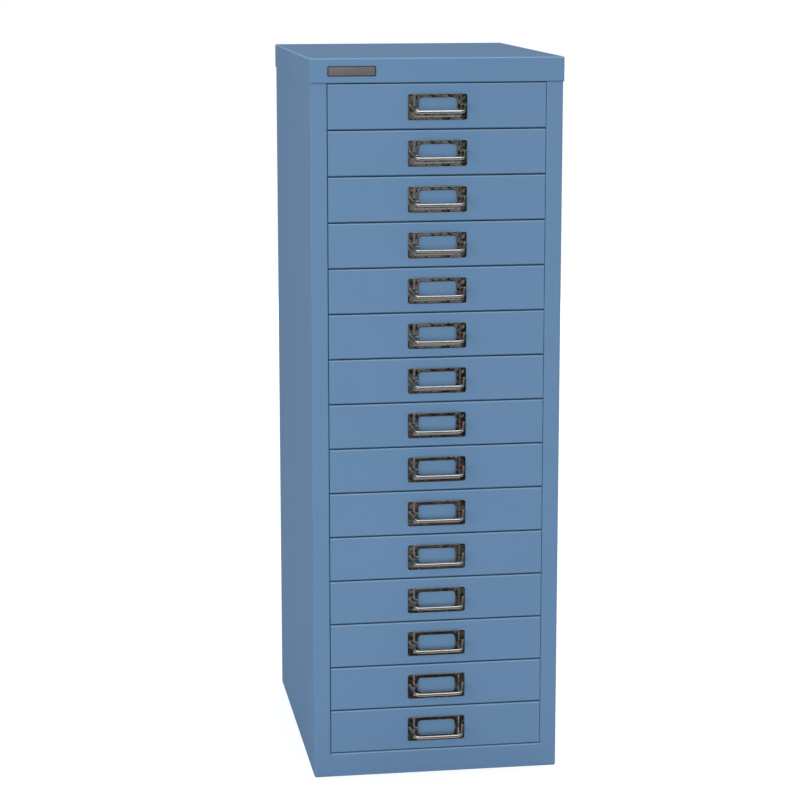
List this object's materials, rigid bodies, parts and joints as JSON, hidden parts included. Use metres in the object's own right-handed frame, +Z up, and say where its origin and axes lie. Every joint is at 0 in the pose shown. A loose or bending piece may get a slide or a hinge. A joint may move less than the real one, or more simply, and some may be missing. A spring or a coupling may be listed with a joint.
{
  "type": "multi-drawer cabinet",
  "caption": "Tall narrow steel cabinet, open-topped shallow drawers one above the other on side runners, each front with a chromed label plate and wire pull.",
  "frame": {"origin": "on the floor, under the middle of the casing", "axes": "+Z up, -Y towards the drawer fronts, +X to the right of someone facing the drawers"},
  "size_m": [0.2978, 0.4029, 0.86],
  "materials": {
    "blue_paint": "satin powder coat",
    "chrome_wire_and_plate": "polished",
    "zinc_plated_steel": "zinc plated"
  },
  "bodies": {
    "cabinet": {"side_panel_left": "blue_paint", "side_panel_right": "blue_paint", "back_panel": "blue_paint", "top_lid": "blue_paint", "base_pan": "blue_paint", "bottom_front_rail": "blue_paint", "rear_post_left": "zinc_plated_steel", "rear_post_right": "zinc_plated_steel", "runners_left": "zinc_plated_steel", "runners_right": "zinc_plated_steel"},
    "drawer_01": {"drawer_01_tray": "blue_paint", "drawer_01_label_plate": "chrome_wire_and_plate", "drawer_01_pull": "chrome_wire_and_plate"},
    "drawer_02": {"drawer_02_tray": "blue_paint", "drawer_02_label_plate": "chrome_wire_and_plate", "drawer_02_pull": "chrome_wire_and_plate"},
    "drawer_03": {"drawer_03_tray": "blue_paint", "drawer_03_label_plate": "chrome_wire_and_plate", "drawer_03_pull": "chrome_wire_and_plate"},
    "drawer_04": {"drawer_04_tray": "blue_paint", "drawer_04_label_plate": "chrome_wire_and_plate", "drawer_04_pull": "chrome_wire_and_plate"},
    "drawer_05": {"drawer_05_tray": "blue_paint", "drawer_05_label_plate": "chrome_wire_and_plate", "drawer_05_pull": "chrome_wire_and_plate"},
    "drawer_06": {"drawer_06_tray": "blue_paint", "drawer_06_label_plate": "chrome_wire_and_plate", "drawer_06_pull": "chrome_wire_and_plate"},
    "drawer_07": {"drawer_07_tray": "blue_paint", "drawer_07_label_plate": "chrome_wire_and_plate", "drawer_07_pull": "chrome_wire_and_plate"},
    "drawer_08": {"drawer_08_tray": "blue_paint", "drawer_08_label_plate": "chrome_wire_and_plate", "drawer_08_pull": "chrome_wire_and_plate"},
    "drawer_09": {"drawer_09_tray": "blue_paint", "drawer_09_label_plate": "chrome_wire_and_plate", "drawer_09_pull": "chrome_wire_and_plate"},
    "drawer_10": {"drawer_10_tray": "blue_paint", "drawer_10_label_plate": "chrome_wire_and_plate", "drawer_10_pull": "chrome_wire_and_plate"},
    "drawer_11": {"drawer_11_tray": "blue_paint", "drawer_11_label_plate": "chrome_wire_and_plate", "drawer_11_pull": "chrome_wire_and_plate"},
    "drawer_12": {"drawer_12_tray": "blue_paint", "drawer_12_label_plate": "chrome_wire_and_plate", "drawer_12_pull": "chrome_wire_and_plate"},
    "drawer_13": {"drawer_13_tray": "blue_paint", "drawer_13_label_plate": "chrome_wire_and_plate", "drawer_13_pull": "chrome_wire_and_plate"},
    "drawer_14": {"drawer_14_tray": "blue_paint", "drawer_14_label_plate": "chrome_wire_and_plate", "drawer_14_pull": "chrome_wire_and_plate"},
    "drawer_15": {"drawer_15_tray": "blue_paint", "drawer_15_label_plate": "chrome_wire_and_plate", "drawer_15_pull": "chrome_wire_and_plate"}
  },
  "joints": [
    {"name": "drawer_01_slide", "type": "slide", "parent": "cabinet", "child": "drawer_01", "axis": [0, -1, 0], "range_m": [0, 0.285]},
    {"name": "drawer_02_slide", "type": "slide", "parent": "cabinet", "child": "drawer_02", "axis": [0, -1, 0], "range_m": [0, 0.285]},
    {"name": "drawer_03_slide", "type": "slide", "parent": "cabinet", "child": "drawer_03", "axis": [0, -1, 0], "range_m": [0, 0.285]},
    {"name": "drawer_04_slide", "type": "slide", "parent": "cabinet", "child": "drawer_04", "axis": [0, -1, 0], "range_m": [0, 0.285]},
    {"name": "drawer_05_slide", "type": "slide", "parent": "cabinet", "child": "drawer_05", "axis": [0, -1, 0], "range_m": [0, 0.285]},
    {"name": "drawer_06_slide", "type": "slide", "parent": "cabinet", "child": "drawer_06", "axis": [0, -1, 0], "range_m": [0, 0.285]},
    {"name": "drawer_07_slide", "type": "slide", "parent": "cabinet", "child": "drawer_07", "axis": [0, -1, 0], "range_m": [0, 0.285]},
    {"name": "drawer_08_slide", "type": "slide", "parent": "cabinet", "child": "drawer_08", "axis": [0, -1, 0], "range_m": [0, 0.285]},
    {"name": "drawer_09_slide", "type": "slide", "parent": "cabinet", "child": "drawer_09", "axis": [0, -1, 0], "range_m": [0, 0.285]},
    {"name": "drawer_10_slide", "type": "slide", "parent": "cabinet", "child": "drawer_10", "axis": [0, -1, 0], "range_m": [0, 0.285]},
    {"name": "drawer_11_slide", "type": "slide", "parent": "cabinet", "child": "drawer_11", "axis": [0, -1, 0], "range_m": [0, 0.285]},
    {"name": "drawer_12_slide", "type": "slide", "parent": "cabinet", "child": "drawer_12", "axis": [0, -1, 0], "range_m": [0, 0.285]},
    {"name": "drawer_13_slide", "type": "slide", "parent": "cabinet", "child": "drawer_13", "axis": [0, -1, 0], "range_m": [0, 0.285]},
    {"name": "drawer_14_slide", "type": "slide", "parent": "cabinet", "child": "drawer_14", "axis": [0, -1, 0], "range_m": [0, 0.285]},
    {"name": "drawer_15_slide", "type": "slide", "parent": "cabinet", "child": "drawer_15", "axis": [0, -1, 0], "range_m": [0, 0.285]}
  ]
}
